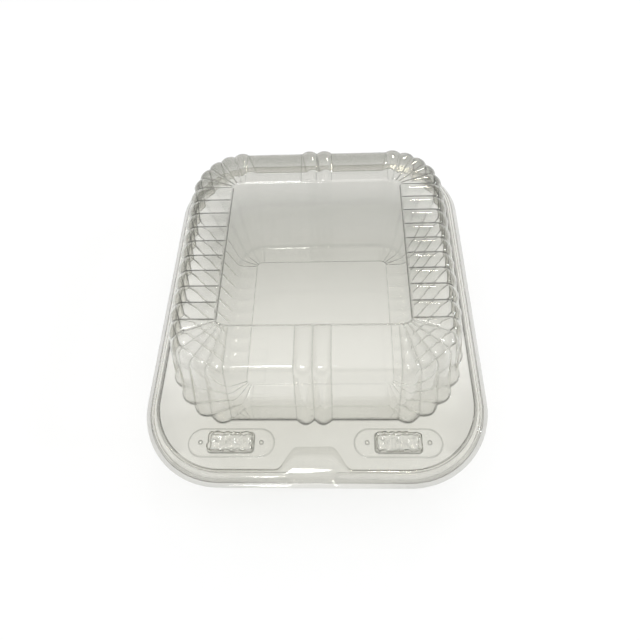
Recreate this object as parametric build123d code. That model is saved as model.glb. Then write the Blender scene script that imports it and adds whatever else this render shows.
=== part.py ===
from build123d import *
import math
import os

# Driving dimensions in millimetres. X runs across the pack, Y from the front lip to the fold, Z up.
SHEET = 0.5  # formed sheet thickness
NEST_GAP = 0.35  # room between the lid and what nests inside it

# Mouth, where both ribbed shells spring from their flanges
MOUTH_WIDTH = 152.0
MOUTH_LENGTH = 172.0

# Flange bands around the mouth
SIDE_SHELF = 4.8
FRONT_SHELF = 24.7
BACK_SHELF = 6.6
LIP_CORNER = 40.0
BASE_LIP = 2.0  # how far the base lip stands past the lid lip

# Raised rim round the front and sides
RIM_SIDE_WIDTH = 4.4
RIM_FRONT_WIDTH = 6.5
RIM_HEIGHT = 2.4
RIM_SLOPE = 0.22  # run of a rim wall for its rise
RIM_FLAT_LIP = 0.4
RIM_HINGE_STOP = 9.0  # the rim ends this far before the fold

# Ribs of both shells
SIDE_RIBS = 9
RIB_PITCH = 9.84
FAN_RIBS = 5  # in each corner
PLAIN_WIDTH = 84.0  # smooth stretch of each end wall
CENTRE_RIB = 9.0  # width of each of the two ribs in the middle of an end wall
RIB_FOOT_RISE = 2.5
RIB_SHOULDER_RISE = 2.1
RIB_TOP_RISE = 1.0
RIB_STEEPNESS = 0.26  # most rise of a rib for its width
RIB_FLANK = 0.26  # share of a rib's width in each sloping flank
RIB_END_RUN = 1.0  # length of a rib's end beside the flat panel
SHOULDER_RADIUS = 6.0
SHOULDER_START = 15.0  # degrees above level where the wall turns into the shoulder
SHOULDER_STEPS = 2
PARALLEL = 1e-6  # edges count as parallel below this cross product

# Lid dome
LID_HEIGHT = 30.4
LID_SIDE_RUN = 10.0
LID_END_RUN = 18.0
LID_SIDE_BAND = 17.5
LID_END_BAND = 20.7
LID_PANEL_DROP = 0.8

# Base tray
BASE_DEPTH = 50.0
BASE_SIDE_RUN = 20.0
BASE_END_RUN = 28.5
BASE_SIDE_BAND = 9.5
BASE_END_BAND = 10.5
BASE_PANEL_DROP = 0.8

# Snap locks on the front shelf, each on a low pad between two dimples
LOCK_SPACING = 82.4
LOCK_FROM_RIM = 12.7
LOCK_WIDTH = 23.3
LOCK_LENGTH = 10.5
LOCK_HEIGHT = 4.2
LOCK_SLOPE = 0.12
LOCK_CORNER = 1.6  # cut off each corner
PAD_WIDTH = 44.0
PAD_LENGTH = 15.0
PAD_RISE = 0.6
DIMPLE_SPACING = 30.4
DIMPLE_RADIUS = 1.3
DIMPLE_RISE = 0.8
DIMPLE_SIDES = 8

# Thumb tab of the lid and the finger scoop in the base rim under it
TAB_ROOT_WIDTH = 34.0
TAB_TIP_WIDTH = 18.0
TAB_REACH = 10.8
TAB_SLOPE = 1.4
SCOOP_INNER_WIDTH = 14.0
SCOOP_OUTER_WIDTH = 29.0

# Places that follow from the sizes above
LID_HALF = MOUTH_WIDTH / 2 + SIDE_SHELF + RIM_SIDE_WIDTH
OVERALL_LENGTH = BASE_LIP + RIM_FRONT_WIDTH + FRONT_SHELF + MOUTH_LENGTH + BACK_SHELF
HINGE_Y = OVERALL_LENGTH / 2
MOUTH_Y = HINGE_Y - BACK_SHELF - MOUTH_LENGTH / 2
LID_FRONT = BASE_LIP - OVERALL_LENGTH / 2
RIM_INNER_FRONT = LID_FRONT + RIM_FRONT_WIDTH
LOCK_Y = RIM_INNER_FRONT + LOCK_FROM_RIM
FLANGE_Z = BASE_DEPTH + RIB_TOP_RISE
RIB_FIELD = SIDE_RIBS * RIB_PITCH / 2
NESTED = SHEET + NEST_GAP  # how far the base sits inside a raised form of the lid
BELOW = SHEET + 1.0  # how far a hollow reaches through the flange that it opens in


def creases(half_x, half_y):
    """Crease points of one quarter, from the middle of a side to the middle of an end."""
    first = RIB_PITCH * (SIDE_RIBS % 2) / 2
    points = [(half_x, first + RIB_PITCH * k) for k in range(SIDE_RIBS // 2)]
    for k in range(FAN_RIBS + 1):
        turn = math.radians(90 * k / FAN_RIBS)
        x = PLAIN_WIDTH / 2 + (half_x - PLAIN_WIDTH / 2) * math.cos(turn)
        y = RIB_FIELD + (half_y - RIB_FIELD) * math.sin(turn)
        points.append((x, y))
    points.append((CENTRE_RIB, half_y))
    return points


def contour(half_x, half_y, z, rise, tilt):
    """Corners of flat-topped ribs from crease to crease; tilt turns them from level to upright."""
    quarter = creases(half_x, half_y)
    loop = quarter + [(0, half_y)] + [(-x, y) for x, y in reversed(quarter)]
    loop += [(-x, -y) for x, y in quarter] + [(0, -half_y)] + [(x, -y) for x, y in reversed(quarter)]
    level = math.cos(math.radians(tilt))
    upright = math.sin(math.radians(tilt))
    points = []
    for (x0, y0), (x1, y1) in zip(loop, loop[1:] + loop[:1]):
        start = Vector(x0, y0, z)
        across = Vector(x1 - x0, y1 - y0, 0)
        points.append(start)
        if {abs(x0), abs(x1)} == {PLAIN_WIDTH / 2, CENTRE_RIB}:
            continue
        outward = Vector(y1 - y0, x0 - x1, 0).normalized()
        lift = (outward * level + Vector(0, 0, upright)) * min(rise, RIB_STEEPNESS * across.length)
        points += [start + across * RIB_FLANK + lift, start + across * (1 - RIB_FLANK) + lift]
    return points


def facets(lower, upper):
    """Flat faces between two contours of as many corners: one between parallel edges, else two."""
    faces = []
    for a, b, c, d in zip(lower, lower[1:] + lower[:1], upper[1:] + upper[:1], upper):
        parallel = (b - a).cross(c - d).length < PARALLEL
        loops = [(a, b, c, d)] if parallel else [(a, b, c), (a, c, d)]
        faces += [Face(Wire.make_polygon(loop, close=True)) for loop in loops]
    return faces


def ribbed_walls(height, side_run, end_run, side_band, end_band, panel_drop, inset, foot_z):
    """Faces of a ribbed dome from the mouth up to its sunk flat panel, drawn in by inset, and its foot."""
    top_x = MOUTH_WIDTH / 2 - side_run
    top_y = MOUTH_LENGTH / 2 - end_run
    panel_x = top_x - side_band + inset
    panel_y = top_y - end_band + inset
    top_z = height - inset
    radius = SHOULDER_RADIUS - inset
    rings = [contour(MOUTH_WIDTH / 2 - inset, MOUTH_LENGTH / 2 - inset, foot_z, RIB_FOOT_RISE, 0)]
    for k in range(SHOULDER_STEPS + 1):
        share = k / SHOULDER_STEPS
        tilt = SHOULDER_START + (90 - SHOULDER_START) * share
        reach = radius * math.cos(math.radians(tilt))
        z = top_z - radius + radius * math.sin(math.radians(tilt))
        rise = RIB_SHOULDER_RISE + (RIB_TOP_RISE - RIB_SHOULDER_RISE) * share
        rings.append(contour(top_x + reach, top_y + reach, z, rise, tilt))
    rings.append(contour(panel_x + RIB_END_RUN, panel_y + RIB_END_RUN, top_z, RIB_TOP_RISE, 90))
    rings.append(contour(panel_x, panel_y, top_z - panel_drop, 0, 90))
    faces = [Face(Wire.make_polygon(rings[-1], close=True))]
    for lower, upper in zip(rings, rings[1:]):
        faces += facets(lower, upper)
    return faces, Wire.make_polygon(rings[0], close=True)


def formed_sheet(lip, height, side_run, end_run, side_band, end_band, panel_drop):
    """One sheet: a flat flange out to its lip and the ribbed dome that rises from it."""
    sizes = (height, side_run, end_run, side_band, end_band, panel_drop)
    outside, outer_foot = ribbed_walls(*sizes, 0, SHEET)
    inside, inner_foot = ribbed_walls(*sizes, SHEET, 0)
    length = HINGE_Y - LID_FRONT + lip
    face = Pos(0, HINGE_Y - length / 2 - MOUTH_Y, 0) * RectangleRounded(
        2 * (LID_HALF + lip), length, LIP_CORNER + lip
    )
    low = face.wire()
    high = Pos(0, 0, SHEET) * low
    edge = Shell.extrude(low, Vector(0, 0, SHEET)).faces()
    shell = Shell(outside + inside + edge + [Face(low, [inner_foot]), Face(high, [outer_foot])])
    return Pos(0, MOUTH_Y, 0) * Solid(shell)


def lid_sheet():
    """Lid flange and dome."""
    return formed_sheet(
        0, LID_HEIGHT, LID_SIDE_RUN, LID_END_RUN, LID_SIDE_BAND, LID_END_BAND, LID_PANEL_DROP
    )


def base_sheet():
    """Base flange and bowl: the same form, deeper and turned down."""
    sheet = formed_sheet(
        BASE_LIP, BASE_DEPTH, BASE_SIDE_RUN, BASE_END_RUN, BASE_SIDE_BAND, BASE_END_BAND, BASE_PANEL_DROP
    )
    return mirror(sheet, about=Plane.XY)


def outline(inward, side, front, z):
    """Lid outline drawn in by inward, with its sides and front drawn in by their own bands."""
    half_x = LID_HALF - side - inward
    near = LID_FRONT + front + inward
    far = HINGE_Y - side - inward
    corner = LIP_CORNER - side - inward
    return Pos(0, (near + far) / 2, z) * RectangleRounded(2 * half_x, far - near, corner)


def slab(near, far, z, half_near, half_far):
    """Level four-sided face, as wide as stated at its near and far edges."""
    corners = [(-half_near, near, z), (half_near, near, z), (half_far, far, z), (-half_far, far, z)]
    return make_face(Polyline(*corners, close=True))


def rim(inset, low):
    """Raised rim from one side of the fold round the front to the other."""
    top = RIM_HEIGHT - inset
    outer = [outline(RIM_FLAT_LIP + inset + RIM_SLOPE * z, 0, 0, z) for z in (low, top)]
    hole = [
        outline(-inset - RIM_SLOPE * z, RIM_SIDE_WIDTH, RIM_FRONT_WIDTH, z) for z in (low, top + BELOW)
    ]
    ring = loft(outer, ruled=True) - loft(hole, ruled=True)
    stop = HINGE_Y - RIM_HINGE_STOP - inset
    return split(ring, bisect_by=Plane.XZ.offset(-stop), keep=Keep.TOP)


def tab(inset, low):
    """Thumb tab: the rim swells inwards into a ramp."""
    sections = []
    for z in (low, RIM_HEIGHT - inset):
        tip = RIM_INNER_FRONT + TAB_REACH - inset - TAB_SLOPE * z
        root = RIM_INNER_FRONT - RIM_FRONT_WIDTH / 2
        half_root = TAB_ROOT_WIDTH / 2 - inset - RIM_SLOPE * z
        half_tip = TAB_TIP_WIDTH / 2 - inset - RIM_SLOPE * z
        sections.append(slab(root, tip, z, half_root, half_tip))
    return loft(sections, ruled=True)


def scoop(grown):
    """Room for a fingertip, cut through the base rim under the tab."""
    near = LID_FRONT - BASE_LIP
    far = RIM_INNER_FRONT + NESTED
    face = slab(near, far, -BELOW - SHEET, SCOOP_OUTER_WIDTH / 2 + grown, SCOOP_INNER_WIDTH / 2 + grown)
    return extrude(face, RIM_HEIGHT + 2 * BELOW, dir=(0, 0, 1))


def lock(side, inset, low):
    """Rectangular snap lock with steep walls and cut corners."""
    sections = []
    for z in (low, LOCK_HEIGHT - inset):
        drawn_in = 2 * (inset + LOCK_SLOPE * z)
        face = Rectangle(LOCK_WIDTH - drawn_in, LOCK_LENGTH - drawn_in)
        face = chamfer(face.vertices(), LOCK_CORNER)
        sections.append(Pos(side * LOCK_SPACING / 2, LOCK_Y, z) * face)
    return loft(sections, ruled=True)


def pad(side, inset, low):
    """Low oblong pad round a lock, with a dimple at each end."""
    place = Pos(side * LOCK_SPACING / 2, LOCK_Y, low)
    height = PAD_RISE + SHEET - inset - low
    raised = place * extrude(SlotOverall(PAD_WIDTH - 2 * inset, PAD_LENGTH - 2 * inset), height)
    radius = DIMPLE_RADIUS - inset
    sections = [RegularPolygon(radius, DIMPLE_SIDES)]
    sections.append(Pos(0, 0, height + DIMPLE_RISE) * RegularPolygon(radius / 2, DIMPLE_SIDES))
    dimple = loft(sections, ruled=True)
    return raised + [place * Pos(end * DIMPLE_SPACING / 2, 0, 0) * dimple for end in (-1, 1)]


def make_lid():
    """Lid sheet with its rim, tab, pads and locks, all hollow from below."""
    raised = [rim(0, 0), tab(0, 0)]
    hollow = [rim(SHEET, -BELOW), tab(SHEET, -BELOW)]
    for side in (-1, 1):
        raised += [pad(side, 0, 0), lock(side, 0, 0)]
        hollow += [pad(side, SHEET, -BELOW), lock(side, SHEET, -BELOW)]
    return lid_sheet() + raised - hollow


def make_base():
    """Base sheet with the rim and locks that nest inside the lid's."""
    raised = [rim(NESTED, -SHEET) - scoop(0)]
    hollow = [rim(NESTED + SHEET, -BELOW) - scoop(SHEET)]
    for side in (-1, 1):
        raised.append(lock(side, NESTED, -SHEET))
        hollow.append(lock(side, NESTED + SHEET, -BELOW))
    return base_sheet() + raised - hollow


def main():
    """Write one file for each part of the pack, standing on the flat ribs of the base."""
    os.makedirs("parts", exist_ok=True)
    raise_up = Pos(0, 0, FLANGE_Z)
    export_step(raise_up * make_base(), "parts/base_tray.step")
    export_step(raise_up * make_lid(), "parts/lid.step")


if __name__ == "__main__":
    main()
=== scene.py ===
import math

import bmesh
import bpy
from bpy.props import FloatProperty, FloatVectorProperty, IntProperty, PointerProperty
from mathutils import Matrix, Vector, noise


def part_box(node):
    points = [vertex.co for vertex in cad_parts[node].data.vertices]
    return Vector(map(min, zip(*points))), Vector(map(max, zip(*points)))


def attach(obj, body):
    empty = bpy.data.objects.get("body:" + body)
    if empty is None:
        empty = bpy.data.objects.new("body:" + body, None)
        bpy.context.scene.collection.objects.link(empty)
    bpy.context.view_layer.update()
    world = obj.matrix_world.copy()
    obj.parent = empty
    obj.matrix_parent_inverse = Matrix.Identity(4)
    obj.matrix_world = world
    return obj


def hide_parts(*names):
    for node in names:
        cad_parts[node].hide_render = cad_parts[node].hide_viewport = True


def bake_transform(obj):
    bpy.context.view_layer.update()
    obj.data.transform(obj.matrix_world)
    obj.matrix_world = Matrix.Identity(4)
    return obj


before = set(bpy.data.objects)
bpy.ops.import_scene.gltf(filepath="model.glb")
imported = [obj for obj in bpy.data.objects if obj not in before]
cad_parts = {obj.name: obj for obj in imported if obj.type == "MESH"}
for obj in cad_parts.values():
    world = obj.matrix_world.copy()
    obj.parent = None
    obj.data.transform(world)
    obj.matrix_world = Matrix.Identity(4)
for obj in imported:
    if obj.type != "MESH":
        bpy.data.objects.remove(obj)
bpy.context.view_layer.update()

bl_info = {
    "name": "Clear Clamshell Pack",
    "version": (1, 0, 0),
    "blender": (4, 5, 0),
    "location": "View3D > Sidebar > Pack",
    "description": "Forms a ribbed clear pack with a hinged lid and sets its stage",
    "category": "Add Mesh",
}

# Places from the frame
LID_LOW, LID_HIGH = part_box("lid")
BASE_LOW, BASE_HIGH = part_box("base_tray")
FLANGE = LID_LOW.z  # level where the lid's flange lies on the base's
FOLD_Y = LID_HIGH.y  # back edge, where the sheet folds

# Fineness of the meshes
MERGE = 1e-7  # points nearer than this are one
GUARD = 0.0003  # width of the loop that keeps a crease line narrow
RIB_STEPS = 10  # faces across the round of one rib
WALL_STEPS = 6  # faces up a wall, then round its shoulder, along its band and over the ends of the ribs
SHOULDER_STEPS = 9
BAND_STEPS = 4
END_STEPS = 6
CORNER_STEPS = 20  # faces round one corner of the lip
TIP_STEPS = 3  # faces along half the tab's tip
TAB_STEPS = 8  # faces along each slanting side of the tab
FOLD_STEPS = 8  # faces round the fold
LOCK_POINTS = 20  # points of the circle that a lock starts from, then a pad and a dimple
PAD_POINTS = 32
DIMPLE_POINTS = 12

# Form of the ribs
WALL_FULLNESS = 2  # power of a rib's round on the wall, and on the band
BAND_FULLNESS = 3
LID_VALLEY = 0.04  # rounding of the lid's creases, as a share of a rib's height
BASE_VALLEY = 1.0  # rounding of the base's creases
FILLET_BEND = 0.25  # where the middle of the foot fillet lies, out and up, as a share of the fillet

# Form of the rim
RIM_ROUND = 0.3  # share of the rim's height that is rounded off
ROUND_ROOM = 0.4  # most of the room on top of the rim that one rounding takes
TAB_TOP = 0.55  # shares of the tab's reach at the upper and lower edge of the rounding
TAB_EDGE = 0.8
RIM_FADE = 0.002  # length over which the rim sinks at its end
SCOOP_FADE = 0.003  # length over which it sinks beside the finger scoop
BACK_SWING = 0.7  # share of its inset by which a level swings out again behind the rim's end
FRONT_CORNER = 0.2  # share of the lip's corner that belongs to the front

# Form of the locks, dimples and fold
LOCK_DRAFT = 0.0002  # how far a lock's wall leans in over half its height
LOCK_EDGE = ((0.0004, 0.00015, 0.5), (0.0003, 0.0005, 0.0))  # rise, run and line of steps round its top
LOCK_TOP_LOOPS = 3  # loops across its top
LOCK_TOP_RUN = 0.09  # distance between those, as a share of the lock's length
CRUMPLE_SEED = 5  # start of the noise that crumples it
CRUMPLE_POINTS = 3  # points along one of those creases
DIMPLE_STEPS = ((0.5, 0.15, 0.5), (0.35, 0.3, 0.1), (0.15, 0.35, 0.0))  # shares of rise, radius, line

# How strongly creases and edges show as a painted shade line, from 0 to 1
CREASE = "crease"  # name of the attribute that holds it for each point
FRONT, SIDE, BACK, TAB = range(4)  # zones of a ring
CREASE_SHARE = 0.05  # share of a rib's width that belongs to the crease on either side
PLAIN_SHARE = 0.015  # the same for a smooth stretch of wall
CREASE_CORE = 0.4  # where a crease begins to fade, as a share of its width
CORE_LINE = 0.8  # how strong it is there
END_CREASE = 0.25  # strength of the creases at the ends beside those along the sides
FOOT_CREASE = 0.6  # strength of all creases in the foot fillet
NO_LINE = (0.0, 0.0, 0.0)
FOOT_LINE = (0.6, 0.6, 0.05)  # foot of a wall, at the front, sides and back
EDGE_LINE = (0.3, 0.8, 0.0)  # edge of a panel, at the front, sides and back
EDGE_POWER = 4  # how fast that line grows towards the edge
BACK_LINE = {3: 0.3, 4: 0.45, 5: 0.5, 6: 0.3}  # steps of the shoulder, at the back alone, painted shade along the back shoulder's outline
RIM_LINES = {  # levels of the rim, from the lip to the inner foot
    FRONT: (0.6, 0.2, 0.15, 0.1, 0.0, 0.1, 0.36, 0.0),
    SIDE: (0.6, 0.1, 0.0, 0.0, 0.0, 0.3, 0.9, 0.1),
    BACK: (0.05, 0.05, 0.0, 0.0, 0.0, 0.0, 0.1, 0.0),
    TAB: (0.25, 0.1, 0.1, 0.1, 0.0, 0.02, 0.08, 0.0),
}
PAD_LINES = (0.25, 0.1)  # foot and edge of a pad
LOCK_WALL_LINES = (0.2, 0.1)  # middle and top of a lock's wall, as shares of the line at its foot
LID_LOCK_LINE = 0.8  # foot of a lock
BASE_LOCK_LINE = 0.3
BASE_SHELL_SHARE = 0.2  # strength of the base's lines beside the lid's, on the shell and on the rim
BASE_RIM_SHARE = 0.5

# Finish of the film, with its painted shade
RIPPLE_SCALE = 70.0  # waves of the slow ripple in each metre, then their detail, strength and depth
RIPPLE_DETAIL = 2.0
RIPPLE_STRENGTH = 0.05
RIPPLE_DEPTH = 0.0004
HAZE_SCALE = 160.0  # patches of haze in each metre, then their share in the tint and the roughness
HAZE_TINT = 0.2
HAZE_ROUGHNESS = 0.03
ROUGHNESS = 0.01  # of the sheet without haze
REFRACTION = 1.45  # index of the plastic
BACK_SHADE_STRETCH = (-0.02, 0.09)  # stretch towards the fold over which the drawn sheet is darkened by painted shade
SIDE_SHADE_STRETCH = (0.045, 0.075)  # the same towards the sides
SIDE_SHADE_SHARE = 0.5  # how much of that painted shade the sides get, with 1 at the fold
DRAW_HEIGHT = (0.003, 0.02)  # distance from the flange over which the sheet is drawn thinner
DRAW_SHARE = 0.8  # how much of the pale tint that brings
SHELF_STRETCH = (-0.075, -0.03)  # stretch behind the front flange over which the sheet grows pale, so that the flat sheet's darker tint, partly painted shade, stays on the front flange

# Stage
WHITE = (1, 1, 1, 1)
FLOOR_HALF = 4  # half the floor's width
FLOOR_FADE = (0.4, 1.4)  # distance from the pack over which the floor runs out into white
WALL_BAND = (0.2, 0.5)  # sines of the heights between which the walls grow dim
CEILING_BAND = (0.7, 0.95)  # sines of the heights between which the ceiling begins
LAMPS = {  # place, width and depth, and colour
    "key": ((-0.4, -0.75, 3.4), (0.62, 0.62), (1, 1, 1)),
    "warm": ((0.53, 2.58, 2.38), (0.34, 0.1), (1, 0.95, 0.82)),
    "side": ((2.6, 0.0, 1.5), (0.3, 0.3), (0.9, 0.95, 1)),
}
CAMERA_PLACE = (0.01358, -0.14644, 0.28726)
CAMERA_PITCH = math.radians(60.85)  # below the horizon
CAMERA_YAW = math.radians(-5.05)
CAMERA_ROLL = math.radians(4.94)
CAMERA_LENS = 27
CAMERA_SENSOR = 36


def length(name, description, default):
    """A length that a user would change."""
    return FloatProperty(
        name=name, description=description, default=default, unit="LENGTH", precision=5,
    )


def number(name, description, default, **kind):
    """A plain number that a user would change, or one with a unit or subtype."""
    return FloatProperty(name=name, description=description, default=default, **kind)


def count(name, description, default):
    """A number of like forms that a user would change."""
    return IntProperty(name=name, description=description, default=default)


def colour(name, description, default):
    """A colour that a user would change."""
    return FloatVectorProperty(
        name=name, description=description, default=default, subtype="COLOR", min=0, max=1,
    )


class PackSizes(bpy.types.PropertyGroup):
    """Sizes of the formed sheet, in metres."""

    sheet: length("Sheet", "Thickness of the formed sheet", 0.0005)
    film: length("Film", "Thickness of the sheet once it is drawn over the mould", 0.0004)
    nest: length("Nesting", "How far the base sits inside a raised form of the lid", 0.00085)
    fold: length("Fold", "Width of the thin fold on each flange", 0.0006)
    mouth_width: length("Mouth width", "Width across the feet of the ribbed walls", 0.152)
    mouth_length: length("Mouth length", "Length between the feet of the end walls", 0.172)
    back_shelf: length("Back shelf", "Flange between the mouth and the fold", 0.0066)
    lip_corner: length("Lip corner", "Corner radius of the lid's lip", 0.04)
    lip_flat: length("Flat lip", "Flat edge outside the rim", 0.0004)
    rim_side: length("Rim side", "Width of the rim and lip at the sides", 0.0044)
    rim_front: length("Rim front", "Width of the rim and lip at the front", 0.0065)
    rim_height: length("Rim height", "Height of the rim above the flange plane", 0.0024)
    rim_slope: number("Rim slope", "Run of a rim wall for its rise", 0.22)
    rim_stop: length("Rim stop", "How far before the fold the rim ends", 0.009)
    side_ribs: count("Side ribs", "Ribs along each side", 9)
    rib_pitch: length("Rib pitch", "From rib to rib along a side", 0.00984)
    fan_ribs: count("Fan ribs", "Ribs round each corner", 5)
    plain_width: length("Plain width", "Width between the corners of each end wall", 0.084)
    centre_rib: length("Centre rib", "Width of each rib in the middle of an end wall", 0.009)
    rib_foot: length("Rib foot", "How far a rib stands out at the foot", 0.0025)
    rib_shoulder: length("Rib shoulder", "How far a rib stands out at the shoulder", 0.0021)
    rib_top: length("Rib top", "How far a rib stands up past the shoulder", 0.001)
    rib_tip: length("Rib tip", "How far a rib stands up beside the panel", 0.0005)
    rib_end: length("Rib end", "Length of a rib's end beside the panel", 0.0015)
    rib_steepness: number("Rib steepness", "Most rise for a rib's width", 0.26)
    foot_fillet: length("Foot fillet", "Rounding between the flange and a wall", 0.0009)
    shoulder: length("Shoulder", "Radius between a wall and the top", 0.006)
    shoulder_start: number(
        "Shoulder start", "Turn from level where the shoulder begins", math.radians(15), subtype="ANGLE",
    )
    panel_drop: length("Panel drop", "How far the flat panel is sunk", 0.0008)
    lid_side_run: length("Lid side run", "How far a lid side leans in", 0.01)
    lid_end_run: length("Lid end run", "How far a lid end leans in", 0.018)
    lid_side_band: length("Lid side band", "Ribbed band beside the lid's panel", 0.0175)
    lid_end_band: length("Lid end band", "Band at each end of the lid's panel", 0.0207)
    base_side_run: length("Base side run", "How far a base side leans in", 0.02)
    base_end_run: length("Base end run", "How far a base end leans in", 0.0285)
    base_side_band: length("Base side band", "Ribbed band beside the floor panel", 0.0095)
    base_end_band: length("Base end band", "Band at each end of the floor panel", 0.0105)
    lock_spacing: length("Lock spacing", "Between the two snap locks", 0.0824)
    lock_from_rim: length("Lock place", "From the rim's inner edge to the locks", 0.0127)
    lock_width: length("Lock width", "Width of a lock", 0.0233)
    lock_length: length("Lock length", "Length of a lock", 0.0105)
    lock_height: length("Lock height", "Height of a lock above the flange plane", 0.0042)
    lock_corner: length("Lock corner", "Corner radius of a lock", 0.0022)
    crumple: length("Crumple", "How far the top of a lock is crumpled", 0.0008)
    crumple_size: length("Crumple size", "Size of those creases", 0.0019)
    pad_width: length("Pad width", "Width of the pad round a lock", 0.044)
    pad_length: length("Pad length", "Length of the pad round a lock", 0.015)
    pad_rise: length("Pad rise", "Height of the pad above the flange", 0.0006)
    dimple_spacing: length("Dimple spacing", "Between the two dimples of a pad", 0.0304)
    dimple: length("Dimple", "Diameter of a dimple", 0.0026)
    dimple_rise: length("Dimple rise", "Height of a dimple above its pad", 0.0008)
    tab_root: length("Tab root", "Half width of the thumb tab at the rim", 0.0185)
    tab_tip: length("Tab tip", "Half width of the thumb tab at its tip", 0.0085)
    tab_reach: length("Tab reach", "How far the tab reaches in from the rim", 0.0108)
    scoop_inner: length("Scoop inner", "Half width of the finger scoop at its inner end", 0.007)
    scoop_outer: length("Scoop outer", "Half width of the finger scoop at its outer end", 0.0145)


class PackLook(bpy.types.PropertyGroup):
    """Colours of the sheet, of its painted shade and of the floor, and strengths of the lights."""

    # Darker tint of the flat sheet: partly the thicker unstretched sheet, partly painted shade
    tint: colour("Tint", "Colour that light takes in passing through the flat sheet", (0.86, 0.855, 0.83))
    pale: colour("Pale tint", "Colour it takes where the sheet is drawn thinner", (0.955, 0.95, 0.935))
    # Painted shade: share of the colour left on the drawn sheet towards the fold and the sides
    back_and_side_shade: colour("Smoke", "Share of that colour left where the sheet is thicker", (0.72, 0.725, 0.715))
    # Painted shade: the dark colour mixed in along creases, panel edges, rims, locks and the back shoulder
    crease_shade: colour("Crease tint", "Colour that light takes along a sharp crease", (0.16, 0.16, 0.15))
    body: colour("Body", "Colour that gathers along the sheet, seen edge on", (0.25, 0.25, 0.0))
    lid_density: number("Lid density", "How fast the body gathers colour in the lid, per metre", 120.0)
    base_density: number("Base density", "How fast the body gathers colour in the base, per metre", 50.0)
    veil: colour("Veil", "Light that each face of the sheet lets through to the floor", (0.96, 0.96, 0.955))
    floor: colour("Floor", "Colour of the floor", (0.95, 0.95, 0.95))
    dusk: number("Dusk", "Strength of the light between walls and ceiling", 0.3)
    ceiling: number("Ceiling", "Strength of the light that the ceiling adds overhead", 1.4)
    key: number("Key", "Power of the overhead softbox", 22.0, unit="POWER")
    warm: number("Warm lamp", "Power of the small lamp at the back", 5.5, unit="POWER")
    side: number("Side lamp", "Power of the small lamp at the right", 9.0, unit="POWER")


class Shade:
    """A shader socket on which Python's operators add Math nodes, and one method any other node."""

    def __init__(self, tree, socket=None):
        self.tree = tree
        self.socket = socket

    def node(self, kind, settings, values):
        """Add a node, with its settings first and then the values or links of its sockets."""
        made = self.tree.nodes.new(kind)
        for name, value in settings.items():
            setattr(made, name, value)
        for name, value in values.items():
            if isinstance(value, Shade):
                self.tree.links.new(value.socket, made.inputs[name])
            else:
                made.inputs[name].default_value = value
        return Shade(self.tree, made.outputs[0] if made.outputs else None)

    def __getitem__(self, name):
        """Another output of the same node."""
        return Shade(self.tree, self.socket.node.outputs[name])

    def math(self, operation, first, second):
        """Add a Math node."""
        return self.node("ShaderNodeMath", {"operation": operation}, {0: first, 1: second})

    def __add__(self, other):
        return self.math("ADD", self, other)

    __radd__ = __add__

    def __sub__(self, other):
        return self.math("SUBTRACT", self, other)

    def __rsub__(self, other):
        return self.math("SUBTRACT", other, self)

    def __mul__(self, other):
        return self.math("MULTIPLY", self, other)

    __rmul__ = __mul__

    def __abs__(self):
        return self.math("ABSOLUTE", self, 0)


def empty_tree(owner):
    """Clear the nodes of a material or world, and return a start for new ones."""
    owner.use_nodes = True
    owner.node_tree.nodes.clear()
    return Shade(owner.node_tree)


def ramp(value, stretch, ends=(0.0, 1.0), kind="LINEAR"):
    """A value that runs from one end to the other while another runs over a stretch."""
    (start, stop), (low, high) = stretch, ends
    return value.node(
        "ShaderNodeMapRange", {"interpolation_type": kind},
        {"Value": value, "From Min": start, "From Max": stop, "To Min": low, "To Max": high},
    )["Result"]


def mix_colours(factor, first, second, blend="MIX"):
    """The second colour blended over the first as far as the factor says."""
    return factor.node(
        "ShaderNodeMix", {"data_type": "RGBA", "blend_type": blend},
        {"Factor": factor, "A": first, "B": second},
    )["Result"]


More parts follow.
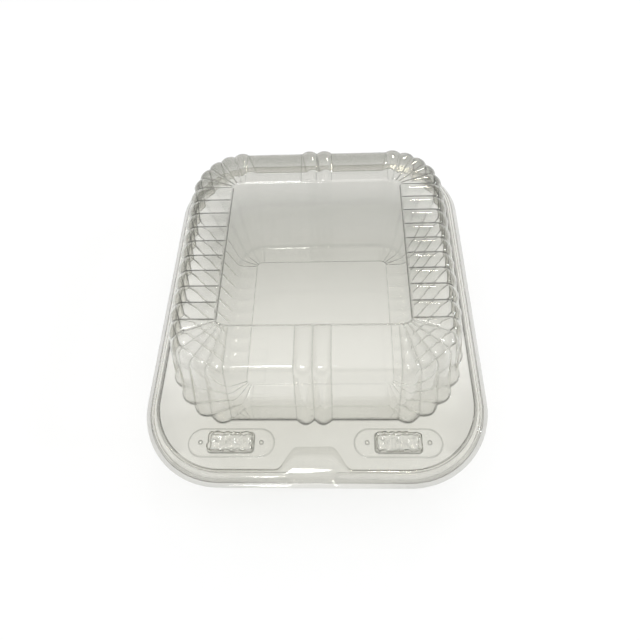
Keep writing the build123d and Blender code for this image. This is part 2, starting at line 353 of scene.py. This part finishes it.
def clear_film(name, look, density):
    """Clear glossy sheet, faintly warm, with the slow ripple and haze of plastic drawn over a mould, and
    painted shade along its creases and edges, towards the fold and the sides, and partly on its flat front
    flange.
    """
    material = bpy.data.materials.new(name)
    shader = empty_tree(material)
    place = shader.node("ShaderNodeTexCoord", {}, {})["Object"]
    flow = shader.node(
        "ShaderNodeTexNoise", {}, {"Vector": place, "Scale": RIPPLE_SCALE, "Detail": RIPPLE_DETAIL},
    )["Fac"]
    ripple = shader.node(
        "ShaderNodeBump", {}, {"Strength": RIPPLE_STRENGTH, "Distance": RIPPLE_DEPTH, "Height": flow},
    )["Normal"]
    haze = shader.node("ShaderNodeTexNoise", {}, {"Vector": place, "Scale": HAZE_SCALE})["Fac"]
    crease = shader.node("ShaderNodeAttribute", {"attribute_name": CREASE}, {})["Fac"]
    parts = shader.node("ShaderNodeSeparateXYZ", {}, {0: place})
    back_shade = ramp(parts["Y"], BACK_SHADE_STRETCH, kind="SMOOTHSTEP")
    side_shade = ramp(abs(parts["X"]), SIDE_SHADE_STRETCH, (0.0, SIDE_SHADE_SHARE), "SMOOTHSTEP")
    thinned = ramp(abs(parts["Z"] - FLANGE), DRAW_HEIGHT, (0.0, DRAW_SHARE))
    shelf = ramp(parts["Y"], SHELF_STRETCH)
    # Darker on the flat front flange, partly for the thicker unstretched sheet and partly as painted shade;
    # pale where drawn and behind the front
    drawn = mix_colours(thinned + shelf + haze * HAZE_TINT, (*look.tint, 1), (*look.pale, 1))
    # Painted shade: the drawn sheet grows darker towards the fold and the sides
    shaded = mix_colours((back_shade + side_shade) * thinned, drawn, (*look.back_and_side_shade, 1), "MULTIPLY")
    # Painted shade: darkened along creases and edges as strongly as the attribute says
    tint = mix_colours(crease, shaded, (*look.crease_shade, 1))
    surface = shader.node(
        "ShaderNodeBsdfPrincipled", {},
        {"Base Color": tint, "Roughness": ROUGHNESS + haze * HAZE_ROUGHNESS, "IOR": REFRACTION,
         "Transmission Weight": 1.0, "Normal": ripple},
    )
    veil = shader.node("ShaderNodeBsdfTransparent", {}, {"Color": (*look.veil, 1)})
    ray = shader.node("ShaderNodeLightPath", {}, {})
    for kind in ("Is Diffuse Ray", "Is Shadow Ray"):
        surface = shader.node("ShaderNodeMixShader", {}, {0: ray[kind], 1: surface, 2: veil})
    body = shader.node("ShaderNodeVolumeAbsorption", {}, {"Color": (*look.body, 1), "Density": density})
    shader.node("ShaderNodeOutputMaterial", {}, {"Surface": surface, "Volume": body})
    return material


def smooth(share):
    """Ease from 0 to 1 with level ends."""
    share = min(max(share, 0.0), 1.0)
    return share * share * (3 - 2 * share)


def crease_loop(sizes, half_x, half_y):
    """Crease points all round a shell, anticlockwise from the right."""
    field = sizes.side_ribs * sizes.rib_pitch / 2
    plain = sizes.plain_width / 2
    first = sizes.rib_pitch * (sizes.side_ribs % 2) / 2
    quarter = [(half_x, first + sizes.rib_pitch * k) for k in range(sizes.side_ribs // 2)]
    for k in range(sizes.fan_ribs + 1):
        turn = math.pi / 2 * k / sizes.fan_ribs
        x = plain + (half_x - plain) * math.cos(turn)
        y = field + (half_y - field) * math.sin(turn)
        quarter.append((x, y))
    quarter.append((sizes.centre_rib, half_y))
    back = quarter + [(0, half_y)] + [(-x, y) for x, y in reversed(quarter)]
    return back + [(-x, -y) for x, y in quarter] + [(0, -half_y)] + [(x, -y) for x, y in reversed(quarter)]


def is_plain(sizes, x0, x1):
    """Whether two crease points bound a smooth stretch of an end wall."""
    near, far = sorted((abs(x0), abs(x1)))
    return math.isclose(near, sizes.centre_rib) and math.isclose(far, sizes.plain_width / 2)


def rib_columns(plain):
    """Columns across a rib: each one's place, and how strongly the crease beside it darkens it with painted
    shade.
    """
    if plain:
        return [(0.0, 1.0), (PLAIN_SHARE, 0.0), (0.5, 0.0), (1 - PLAIN_SHARE, 0.0)]
    core = CREASE_SHARE * CREASE_CORE
    columns = [(0.0, 1.0), (core, CORE_LINE)]
    for k in range(RIB_STEPS + 1):
        columns.append((CREASE_SHARE + (1 - 2 * CREASE_SHARE) * k / RIB_STEPS, 0.0))
    return columns + [(1 - core, CORE_LINE)]


def rib_profile(share, fullness, valley):
    """Height across a rib, from 0 at a crease to 1 at the crown; the valley rounds the crease."""
    arc = 1 - abs(2 * share - 1) ** fullness
    return (math.hypot(arc, valley) - valley) / (math.hypot(1, valley) - valley)


def ribbed_ring(sizes, half_x, half_y, z, rise, tilt, fullness, valley):
    """One level of a shell: rounded ribs from crease to crease that stand out along the tilt."""
    loop = crease_loop(sizes, half_x, half_y)
    points = []
    for (x0, y0), (x1, y1) in zip(loop, loop[1:] + loop[:1]):
        start = Vector((x0, y0, z))
        across = Vector((x1 - x0, y1 - y0, 0))
        plain = is_plain(sizes, x0, x1)
        outward = Vector((across.y, -across.x, 0)).normalized()
        lift = outward * math.cos(tilt) + Vector((0, 0, math.sin(tilt)))
        lift *= 0 if plain else min(rise, sizes.rib_steepness * across.length)
        for share, _ in rib_columns(plain):
            points.append(start + across * share + lift * rib_profile(share, fullness, valley))
    return points


def crease_weights(sizes):
    """How strongly each column of a shell is darkened by painted crease shade."""
    loop = crease_loop(sizes, sizes.mouth_width / 2, sizes.mouth_length / 2)
    field = sizes.side_ribs * sizes.rib_pitch / 2
    weights = []
    for (x0, y0), (x1, _) in zip(loop, loop[1:] + loop[:1]):
        share = 1.0 if abs(y0) <= field + MERGE else END_CREASE
        weights += [share * weight for _, weight in rib_columns(is_plain(sizes, x0, x1))]
    return weights


def shell_zones(sizes):
    """The zone of each column of a shell."""
    loop = crease_loop(sizes, sizes.mouth_width / 2, sizes.mouth_length / 2)
    field = sizes.side_ribs * sizes.rib_pitch / 2
    zones = []
    for (x0, y0), (x1, y1) in zip(loop, loop[1:] + loop[:1]):
        middle = (y0 + y1) / 2
        zone = SIDE if abs(middle) < field else FRONT if middle < 0 else BACK
        zones += [zone] * len(rib_columns(is_plain(sizes, x0, x1)))
    return zones


def shell_rings(sizes, height, side_run, end_run, side_band, end_band, up, valley):
    """Levels of a ribbed shell from its foot fillet to the edge of its sunk panel.

    Beside each level stand how strongly its creases show as painted shade and how strongly it shows as a
    painted shade line in each zone.
    """
    mouth_x, mouth_y = sizes.mouth_width / 2, sizes.mouth_length / 2
    top_x, top_y = mouth_x - side_run, mouth_y - end_run
    panel_x, panel_y = top_x - side_band, top_y - end_band
    turn_z = height - sizes.shoulder
    reach = sizes.shoulder * math.cos(sizes.shoulder_start)
    start_z = turn_z + sizes.shoulder * math.sin(sizes.shoulder_start)
    level = math.pi / 2
    rings = []
    marks = []

    def ring(half_x, half_y, z, rise, tilt, fullness, strength, line=NO_LINE):
        rings.append(ribbed_ring(sizes, half_x, half_y, up * z, rise, up * tilt, fullness, valley))
        marks.append((strength, line))

    fillet = sizes.foot_fillet
    bend = fillet * FILLET_BEND
    for out, rise, strength, line in (
        (fillet, 0, 0, NO_LINE), (bend, bend, FOOT_CREASE, FOOT_LINE), (0, fillet, 1, NO_LINE),
    ):
        z = sizes.sheet + rise
        ring(mouth_x + out, mouth_y + out, z, sizes.rib_foot, 0, WALL_FULLNESS, strength, line)
    for k in range(1, WALL_STEPS + 1):
        share = k / WALL_STEPS
        half_x = mouth_x + (top_x + reach - mouth_x) * share
        half_y = mouth_y + (top_y + reach - mouth_y) * share
        z = sizes.sheet + (start_z - sizes.sheet) * share
        rise = sizes.rib_foot + (sizes.rib_shoulder - sizes.rib_foot) * share
        ring(half_x, half_y, z, rise, sizes.shoulder_start * share, WALL_FULLNESS, 1)
    for k in range(1, SHOULDER_STEPS + 1):
        share = k / SHOULDER_STEPS
        tilt = sizes.shoulder_start + (level - sizes.shoulder_start) * share
        out = sizes.shoulder * math.cos(tilt)
        z = turn_z + sizes.shoulder * math.sin(tilt)
        rise = sizes.rib_shoulder + (sizes.rib_top - sizes.rib_shoulder) * math.sin(level * share)
        fullness = WALL_FULLNESS + (BAND_FULLNESS - WALL_FULLNESS) * share
        ring(top_x + out, top_y + out, z, rise, tilt, fullness, 1, (0.0, 0.0, BACK_LINE.get(k, 0.0)))
    for k in range(1, BAND_STEPS + 1):
        share = k / BAND_STEPS
        half_x = top_x - (side_band - sizes.rib_end) * share
        half_y = top_y - (end_band - sizes.rib_end) * share
        rise = sizes.rib_top + (sizes.rib_tip - sizes.rib_top) * share
        ring(half_x, half_y, height, rise, level, BAND_FULLNESS, 1)
    for k in range(1, END_STEPS + 1):
        share = k / END_STEPS
        out = sizes.rib_end * (1 - share)
        z = height - sizes.panel_drop * share ** 2
        rise = sizes.rib_tip * (1 - share ** 2)
        line = [strength * share ** EDGE_POWER for strength in EDGE_LINE]
        ring(panel_x + out, panel_y + out, z, rise, level, BAND_FULLNESS, 1 - share, line)
    inside = fillet / 2
    ring(panel_x - inside, panel_y - inside, height - sizes.panel_drop, 0, level, BAND_FULLNESS, 0)
    return rings, marks


def outline(sizes, half_x, near, far, corner):
    """Rounded outline of a flange, anticlockwise from the middle of the front."""
    straight = half_x - corner
    steps = [sizes.tab_tip * k / TIP_STEPS for k in range(TIP_STEPS)]
    slant = sizes.tab_root - sizes.tab_tip
    steps += [sizes.tab_tip + slant * k / TAB_STEPS for k in range(TAB_STEPS + 1)]
    right = [(x, near) for x in steps]
    turns = [math.pi / 2 * k / CORNER_STEPS for k in range(CORNER_STEPS + 1)]
    for turn in turns:
        right.append((straight + corner * math.sin(turn), near + corner - corner * math.cos(turn)))
    for turn in turns:
        right.append((straight + corner * math.cos(turn), far - corner + corner * math.sin(turn)))
    return right + [(-x, y) for x, y in reversed(right[1:])]


def rim_rings(sizes, lip, tuck, rise, level, has_tab):
    """Levels of a flange from its lip over the rim to the foot of the rim's inner wall."""
    half = LID_HIGH.x
    front = LID_LOW.y
    back = FOLD_Y - sizes.fold
    run = sizes.rim_slope * rise
    room = sizes.rim_side - sizes.lip_flat - 2 * (tuck + run)
    round_off = min(rise * RIM_ROUND, room * ROUND_ROOM)
    foot = sizes.lip_flat + tuck
    outer = [(-lip, 0.0), (foot, 0.0), (foot + run, 1 - RIM_ROUND), (foot + run + round_off, 1.0)]
    inner = [
        (-tuck - run - round_off, 1.0, TAB_TOP), (-tuck - run, 1 - RIM_ROUND, TAB_EDGE),
        (-tuck, 0.0, 1.0), (-tuck + GUARD, 0.0, 1.0),
    ]
    rings = []
    for inward, share in outer:
        deep = max(inward, 0.0)
        points = outline(sizes, half - inward, front + inward, back - deep, sizes.lip_corner - inward)
        points = [(x, y + back_push(sizes, y, back - deep, deep)) for x, y in points]
        rings.append(raise_rim(sizes, points, rise * share, level, not has_tab))
    for inward, share, reach in inner:
        side = sizes.rim_side + inward
        near = front + sizes.rim_front + inward
        points = outline(sizes, half - side, near, back - side, sizes.lip_corner - side)
        points = [(x, y + back_push(sizes, y, back - side, side)) for x, y in points]
        if has_tab:
            points = [(x, y + tab_push(sizes, x, y) * reach) for x, y in points]
        rings.append(raise_rim(sizes, points, rise * share, level, not has_tab))
    return rings


def back_push(sizes, y, far, side):
    """How far a level of the rim swings out to the fold behind the place where the rim ends."""
    end = FOLD_Y - sizes.rim_stop
    return side * BACK_SWING * smooth((y - end) / (far - end))


def tab_push(sizes, x, y):
    """How far the thumb tab carries a point of the rim's inner edge inwards."""
    if y > 0:
        return 0.0
    return sizes.tab_reach * smooth((sizes.tab_root - abs(x)) / (sizes.tab_root - sizes.tab_tip))


def raise_rim(sizes, points, rise, level, scooped):
    """Set the rim's height: it ends before the fold and, in the base, at the finger scoop."""
    ring = []
    for x, y in points:
        keep = smooth((FOLD_Y - sizes.rim_stop - y) / RIM_FADE + 0.5)
        if scooped and y < 0:
            middle = (sizes.scoop_inner + sizes.scoop_outer) / 2
            keep *= smooth((abs(x) - middle) / SCOOP_FADE + 0.5)
        ring.append(Vector((x, y, level + rise * keep)))
    return ring


def rim_zones(sizes, ring):
    """The zone of each point of a flange's rim."""
    zones = []
    for point in ring:
        if point.y > FOLD_Y - sizes.rim_stop:
            zones.append(BACK)
        elif point.y > LID_LOW.y + sizes.lip_corner * FRONT_CORNER:
            zones.append(SIDE)
        else:
            zones.append(TAB if abs(point.x) < sizes.tab_root + MERGE else FRONT)
    return zones


def rim_marks(share):
    """How strongly each level of a rim shows as a painted shade line in each zone."""
    levels = zip(*(RIM_LINES[zone] for zone in (FRONT, SIDE, BACK, TAB)))
    return [(0.0, [share * mark for mark in level]) for level in levels]


def crease_layer(bm):
    """Layer that says how strongly a point is darkened by painted shade along a crease or edge."""
    return bm.verts.layers.float.get(CREASE) or bm.verts.layers.float.new(CREASE)


def skin(bm, rings, weights, zones, marks):
    """Quads over closed rings of as many points: a grid rolled up until its columns meet."""
    columns = len(rings[0])
    rows = len(rings) - 1
    crease = crease_layer(bm)
    made = bmesh.ops.create_grid(bm, x_segments=columns, y_segments=rows, size=1)["verts"]
    places = {}
    for vert in made:
        column = round((vert.co.x + 1) / 2 * columns) % columns
        row = round((vert.co.y + 1) / 2 * rows)
        vert.co = rings[row][column]
        strength, line = marks[row]
        vert[crease] = max(weights[column] * strength, line[zones[column]])
        places[vert] = row
    bmesh.ops.remove_doubles(bm, verts=made, dist=MERGE)
    kept = {vert: row for vert, row in places.items() if vert.is_valid}
    for face in {face for vert in kept for face in vert.link_faces}:
        face.smooth = True
    ends = []
    for row in (0, rows):
        verts = {vert for vert, place in kept.items() if place == row}
        edges = {edge for vert in verts for edge in vert.link_edges}
        ends.append([edge for edge in edges if set(edge.verts) <= verts])
    return ends


def skin_rim(bm, sizes, rim, share):
    """Skin a flange's rim, with painted shade lines as strong as the share says; returns its inner foot."""
    _, inner = skin(bm, rim, [0.0] * len(rim[0]), rim_zones(sizes, rim[0]), rim_marks(share))
    return inner


def rounded_loop(bm, centre, width, depth, corner, segments):
    """Closed loop of edges: a circle whose quarters are pulled apart."""
    turned = Matrix.Rotation(math.pi / segments, 4, "Z")
    made = bmesh.ops.create_circle(bm, segments=segments, radius=corner, matrix=turned)["verts"]
    apart_x, apart_y = width / 2 - corner, depth / 2 - corner
    for vert in made:
        shift = Vector((math.copysign(apart_x, vert.co.x), math.copysign(apart_y, vert.co.y), 0))
        vert.co += shift + centre
    return list({edge for vert in made for edge in vert.link_edges})


def lift_loop(bm, edges, centre, rise, shrink, line=0.0):
    """Extrude a loop upwards and draw it in about its centre; it shows as a painted shade line as strongly
    as given.
    """
    made = bmesh.ops.extrude_edge_only(bm, edges=edges)["geom"]
    verts = [item for item in made if isinstance(item, bmesh.types.BMVert)]
    for item in made:
        if isinstance(item, bmesh.types.BMFace):
            item.smooth = True
    extent = [max(abs(vert.co[axis] - centre[axis]) for vert in verts) for axis in (0, 1)]
    crease = crease_layer(bm)
    for vert in verts:
        vert[crease] = line
    bmesh.ops.translate(bm, verts=verts, vec=(0, 0, rise))
    factors = (1 - shrink / extent[0], 1 - shrink / extent[1], 1)
    bmesh.ops.scale(bm, verts=verts, vec=factors, space=Matrix.Translation(-Vector(centre)))
    kept = set(verts)
    return [item for item in made if isinstance(item, bmesh.types.BMEdge) and set(item.verts) <= kept]


def fill_flat(bm, edges):
    """Close one or more loops in a level plane."""
    made = bmesh.ops.triangle_fill(bm, use_beauty=True, use_dissolve=False, edges=edges, normal=(0, 0, 1))
    for item in made["geom"]:
        if isinstance(item, bmesh.types.BMFace):
            item.smooth = False


def split_long(bm, edges, step):
    """Cut the long edges of a new loop, the only one without faces, into short ones."""
    for edge in edges:
        cuts = int(edge.calc_length() / step)
        if cuts:
            bmesh.ops.bisect_edges(bm, edges=[edge], cuts=cuts)
    return [edge for edge in bm.edges if edge.is_wire]


def crumple(edges, amount, size):
    """Push the points of a loop about, as where the sheet was drawn in creases."""
    noise.seed_set(CRUMPLE_SEED)
    for vert in {vert for edge in edges for vert in edge.verts}:
        vert.co += noise.noise_vector(vert.co / size) * amount


def raise_lock(bm, sizes, centre, tuck, rise, line):
    """Snap lock: a small fillet, steep walls, a rounded top edge and a crumpled top."""
    width = sizes.lock_width - 2 * tuck + 2 * GUARD
    depth = sizes.lock_length - 2 * tuck + 2 * GUARD
    foot = rounded_loop(bm, centre, width, depth, sizes.lock_corner - tuck + GUARD, LOCK_POINTS)
    foot = split_long(bm, foot, sizes.crumple_size / CRUMPLE_POINTS)
    half_wall = (rise - sum(step for step, _, _ in LOCK_EDGE)) / 2
    middle_share, top_share = LOCK_WALL_LINES
    edge = lift_loop(bm, foot, centre, 0.0, GUARD, line)
    edge = lift_loop(bm, edge, centre, half_wall, LOCK_DRAFT, line * middle_share)
    steps = [(half_wall, LOCK_DRAFT, top_share), *LOCK_EDGE]
    steps += [(0.0, depth * LOCK_TOP_RUN, 0.0)] * LOCK_TOP_LOOPS
    loops = []
    for step, shrink, share in steps:
        edge = lift_loop(bm, edge, centre, step, shrink, line * share)
        loops.append(edge)
    fill_flat(bm, edge)
    for loop in loops:
        crumple(loop, sizes.crumple, sizes.crumple_size)
    return foot


def raise_dimple(bm, sizes, centre):
    """Small round bump."""
    radius = sizes.dimple / 2
    foot = rounded_loop(bm, centre, sizes.dimple, sizes.dimple, radius, DIMPLE_POINTS)
    edge = foot
    for step, shrink, line in DIMPLE_STEPS:
        edge = lift_loop(bm, edge, centre, sizes.dimple_rise * step, radius * shrink, line)
    fill_flat(bm, edge)
    return foot


def lock_places(sizes, level):
    """Where the two locks stand on a flange."""
    y = LID_LOW.y + sizes.rim_front + sizes.lock_from_rim
    return [Vector((side * sizes.lock_spacing / 2, y, level)) for side in (-1, 1)]


def raise_pads(bm, sizes, level):
    """The lid's two low pads, each with its lock and two dimples; returns the pads' feet."""
    feet = []
    foot_line, edge_line = PAD_LINES
    lock_rise = sizes.lock_height - sizes.sheet - sizes.pad_rise
    for low in lock_places(sizes, level):
        high = low + Vector((0, 0, sizes.pad_rise))
        foot = rounded_loop(bm, low, sizes.pad_width, sizes.pad_length, sizes.pad_length / 2, PAD_POINTS)
        edge = lift_loop(bm, foot, low, 0.0, GUARD, foot_line)
        edge = lift_loop(bm, edge, low, sizes.pad_rise, sizes.pad_rise, edge_line)
        edge = lift_loop(bm, edge, high, 0.0, GUARD)
        holes = raise_lock(bm, sizes, high, 0, lock_rise, LID_LOCK_LINE)
        for end in (-1, 1):
            holes += raise_dimple(bm, sizes, high + Vector((end * sizes.dimple_spacing / 2, 0, 0)))
        fill_flat(bm, edge + holes)
        feet += foot
    return feet


def make_sheet(bm, sizes, name, facing, material):
    """Turn the faces one way and give the sheet its thickness and finish."""
    bmesh.ops.remove_doubles(bm, verts=bm.verts, dist=MERGE)
    bmesh.ops.recalc_face_normals(bm, faces=bm.faces)
    widest = max(bm.faces, key=lambda face: face.calc_area())
    if widest.normal.dot(facing) < 0:
        bmesh.ops.reverse_faces(bm, faces=bm.faces)
    for edge in bm.edges:
        edge.smooth = not edge.is_boundary
    sheet = link_mesh(bm, name, material)
    thick = sheet.modifiers.new("Thickness", "SOLIDIFY")
    thick.thickness = sizes.film
    thick.offset = -1
    return sheet


def link_mesh(bm, name, material):
    """Make an object of a finished shape and put it in the scene."""
    mesh = bpy.data.meshes.new(name)
    bm.to_mesh(mesh)
    bm.free()
    mesh.materials.append(material)
    made = bpy.data.objects.new(name, mesh)
    bpy.context.scene.collection.objects.link(made)
    return made


def place_rings(sizes, rings):
    """Move rings from the flange plane at the origin to the mouth's place in the pack."""
    centre = Vector((0, FOLD_Y - sizes.back_shelf - sizes.mouth_length / 2, FLANGE))
    return [[point + centre for point in ring] for ring in rings]


class PACK_OT_form_lid(bpy.types.Operator):
    """Form the domed lid with its rim, thumb tab, pads and locks"""

    bl_idname = "pack.form_lid"
    bl_label = "Form Lid"

    def execute(self, context):
        sizes = context.scene.pack_sizes
        look = context.scene.pack_look
        bm = bmesh.new()
        level = FLANGE + sizes.sheet
        height = LID_HIGH.z - FLANGE - sizes.rib_top
        rings, marks = shell_rings(
            sizes, height, sizes.lid_side_run, sizes.lid_end_run,
            sizes.lid_side_band, sizes.lid_end_band, 1, LID_VALLEY,
        )
        rings = place_rings(sizes, rings)
        foot, panel = skin(bm, rings, crease_weights(sizes), shell_zones(sizes), marks)
        rim = rim_rings(sizes, 0, 0, sizes.rim_height - sizes.sheet, level, True)
        inner = skin_rim(bm, sizes, rim, 1.0)
        fill_flat(bm, panel)
        fill_flat(bm, foot + inner + raise_pads(bm, sizes, level))
        film = clear_film("lid_film", look, look.lid_density)
        sheet = make_sheet(bm, sizes, "lid_sheet", Vector((0, 0, 1)), film)
        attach(sheet, "lid")
        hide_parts("lid")
        return {"FINISHED"}


class PACK_OT_form_base(bpy.types.Operator):
    """Form the deep base tray with the rim and locks that nest in the lid"""

    bl_idname = "pack.form_base"
    bl_label = "Form Base"

    def execute(self, context):
        sizes = context.scene.pack_sizes
        look = context.scene.pack_look
        bm = bmesh.new()
        level = FLANGE - sizes.sheet
        height = FLANGE - BASE_LOW.z - sizes.rib_top
        rings, marks = shell_rings(
            sizes, height, sizes.base_side_run, sizes.base_end_run,
            sizes.base_side_band, sizes.base_end_band, -1, BASE_VALLEY,
        )
        faint = [(0.0, [strength * BASE_SHELL_SHARE for strength in line]) for _, line in marks]
        rings = place_rings(sizes, rings)
        foot, panel = skin(bm, rings, crease_weights(sizes), shell_zones(sizes), faint)
        lip = BASE_HIGH.x - LID_HIGH.x
        tuck = sizes.nest + sizes.sheet
        rim = rim_rings(sizes, lip, tuck, sizes.rim_height - sizes.nest, level, False)
        inner = skin_rim(bm, sizes, rim, BASE_RIM_SHARE)
        fill_flat(bm, panel)
        locks = []
        for low in lock_places(sizes, level):
            locks += raise_lock(bm, sizes, low, tuck, sizes.lock_height - sizes.nest, BASE_LOCK_LINE)
        fill_flat(bm, foot + inner + locks)
        film = clear_film("base_film", look, look.base_density)
        sheet = make_sheet(bm, sizes, "base_sheet", Vector((0, 0, -1)), film)
        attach(sheet, "base")
        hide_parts("base_tray")
        return {"FINISHED"}


class PACK_OT_form_fold(bpy.types.Operator):
    """Form the thin fold along the back that joins the lid to the base"""

    bl_idname = "pack.form_fold"
    bl_label = "Form Fold"

    def execute(self, context):
        sizes = context.scene.pack_sizes
        look = context.scene.pack_look
        bm = bmesh.new()
        half = LID_HIGH.x - sizes.lip_corner
        centre = Vector((-half, FOLD_Y - sizes.fold, FLANGE))
        start = bm.verts.new(centre + Vector((0, 0, sizes.sheet)))
        bmesh.ops.spin(bm, geom=[start], cent=centre, axis=(-1, 0, 0), angle=math.pi, steps=FOLD_STEPS)
        stretch = (1, sizes.fold / sizes.sheet, 1)
        bmesh.ops.scale(bm, verts=bm.verts, vec=stretch, space=Matrix.Translation(-centre))
        made = bmesh.ops.extrude_edge_only(bm, edges=bm.edges)["geom"]
        verts = [item for item in made if isinstance(item, bmesh.types.BMVert)]
        bmesh.ops.translate(bm, verts=verts, vec=(2 * half, 0, 0))
        for face in bm.faces:
            face.smooth = True
        film = clear_film("fold_film", look, look.lid_density)
        strip = make_sheet(bm, sizes, "hinge_fold", Vector((0, 1, 0)), film)
        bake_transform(strip)
        return {"FINISHED"}


class PACK_OT_set_stage(bpy.types.Operator):
    """Set the floor, the soft lights and the camera"""

    bl_idname = "pack.set_stage"
    bl_label = "Set Stage"

    def execute(self, context):
        scene = context.scene
        look = scene.pack_look
        scene.view_settings.view_transform = "Standard"
        scene.cycles.max_bounces = 32
        scene.cycles.transmission_bounces = 32
        scene.cycles.glossy_bounces = 12
        scene.cycles.transparent_max_bounces = 64
        bm = bmesh.new()
        bmesh.ops.create_grid(bm, x_segments=1, y_segments=1, size=FLOOR_HALF)
        floor = link_mesh(bm, "floor", floor_paint(look))
        scene.world = studio_world(look)
        powers = {"key": look.key, "warm": look.warm, "side": look.side}
        for name, power in powers.items():
            add_lamp(scene, name, power, *LAMPS[name])
        set_camera(scene)
        return {"FINISHED"}


def floor_paint(look):
    """Pale matt floor that runs out into white, for the eye and for what the sheet shows of it."""
    material = bpy.data.materials.new("floor")
    shader = empty_tree(material)
    place = shader.node("ShaderNodeTexCoord", {}, {})["Object"]
    away = shader.node("ShaderNodeVectorMath", {"operation": "LENGTH"}, {0: place})["Value"]
    far = ramp(away, FLOOR_FADE, kind="SMOOTHSTEP")
    ray = shader.node("ShaderNodeLightPath", {}, {})
    seen = ray["Is Camera Ray"] + ray["Is Transmission Ray"] + ray["Is Glossy Ray"]
    paint = shader.node("ShaderNodeBsdfDiffuse", {}, {"Color": (*look.floor, 1)})
    white = shader.node("ShaderNodeEmission", {}, {"Color": WHITE, "Strength": 1.0})
    mixed = shader.node("ShaderNodeMixShader", {}, {0: far * seen, 1: paint, 2: white})
    shader.node("ShaderNodeOutputMaterial", {}, {"Surface": mixed})
    return material


def studio_world(look):
    """White walls all round, dim above, with a bright ceiling overhead."""
    world = bpy.data.worlds.new("studio")
    shader = empty_tree(world)
    toward = shader.node("ShaderNodeTexCoord", {}, {})["Generated"]
    height = shader.node("ShaderNodeSeparateXYZ", {}, {0: toward})["Z"]
    wall = ramp(height, WALL_BAND, (1.0, look.dusk), "SMOOTHSTEP")
    ceiling = ramp(height, CEILING_BAND, (0.0, look.ceiling), "SMOOTHSTEP")
    light = shader.node("ShaderNodeBackground", {}, {"Color": WHITE, "Strength": wall + ceiling})
    shader.node("ShaderNodeOutputWorld", {}, {"Surface": light})
    return world


def add_lamp(scene, name, power, place, size, colour):
    """Soft lamp, so wide and deep, that looks at the pack and is out of sight itself."""
    data = bpy.data.lights.new(name, "AREA")
    data.energy = power
    data.shape = "RECTANGLE"
    data.size, data.size_y = size
    data.color = colour
    lamp = bpy.data.objects.new(name, data)
    lamp.location = place
    lamp.rotation_euler = (-lamp.location).to_track_quat("-Z", "Y").to_euler()
    lamp.visible_camera = False
    scene.collection.objects.link(lamp)


def set_camera(scene):
    """Camera above the front, turned and rolled a little."""
    flat = math.cos(CAMERA_PITCH)
    ahead = Vector((math.sin(CAMERA_YAW) * flat, math.cos(CAMERA_YAW) * flat, -math.sin(CAMERA_PITCH)))
    level = Vector((math.cos(CAMERA_YAW), -math.sin(CAMERA_YAW), 0))
    down = ahead.cross(level)
    right = level * math.cos(CAMERA_ROLL) + down * math.sin(CAMERA_ROLL)
    below = down * math.cos(CAMERA_ROLL) - level * math.sin(CAMERA_ROLL)
    data = bpy.data.cameras.new("camera")
    data.lens = CAMERA_LENS
    data.sensor_width = CAMERA_SENSOR
    camera = bpy.data.objects.new("camera", data)
    turn = Matrix((right, -below, -ahead)).transposed()
    camera.matrix_world = Matrix.Translation(CAMERA_PLACE) @ turn.to_4x4()
    scene.collection.objects.link(camera)
    scene.camera = camera


class PACK_PT_panel(bpy.types.Panel):
    """Buttons that form the pack"""

    bl_label = "Clear Pack"
    bl_idname = "PACK_PT_panel"
    bl_space_type = "VIEW_3D"
    bl_region_type = "UI"
    bl_category = "Pack"

    def draw(self, context):
        for operator in OPERATORS:
            self.layout.operator(operator.bl_idname)


OPERATORS = (PACK_OT_form_base, PACK_OT_form_lid, PACK_OT_form_fold, PACK_OT_set_stage)
CLASSES = (PackSizes, PackLook, *OPERATORS, PACK_PT_panel)


def register():
    """Make the sizes, looks, operators and panel known to Blender."""
    for item in CLASSES:
        bpy.utils.register_class(item)
    bpy.types.Scene.pack_sizes = PointerProperty(type=PackSizes)
    bpy.types.Scene.pack_look = PointerProperty(type=PackLook)


def unregister():
    """Undo register."""
    del bpy.types.Scene.pack_look
    del bpy.types.Scene.pack_sizes
    for item in reversed(CLASSES):
        bpy.utils.unregister_class(item)


def main():
    """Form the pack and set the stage."""
    register()
    bpy.ops.pack.form_base()
    bpy.ops.pack.form_lid()
    bpy.ops.pack.form_fold()
    bpy.ops.pack.set_stage()
    bpy.context.view_layer.update()


if __name__ == "__main__":
    main()
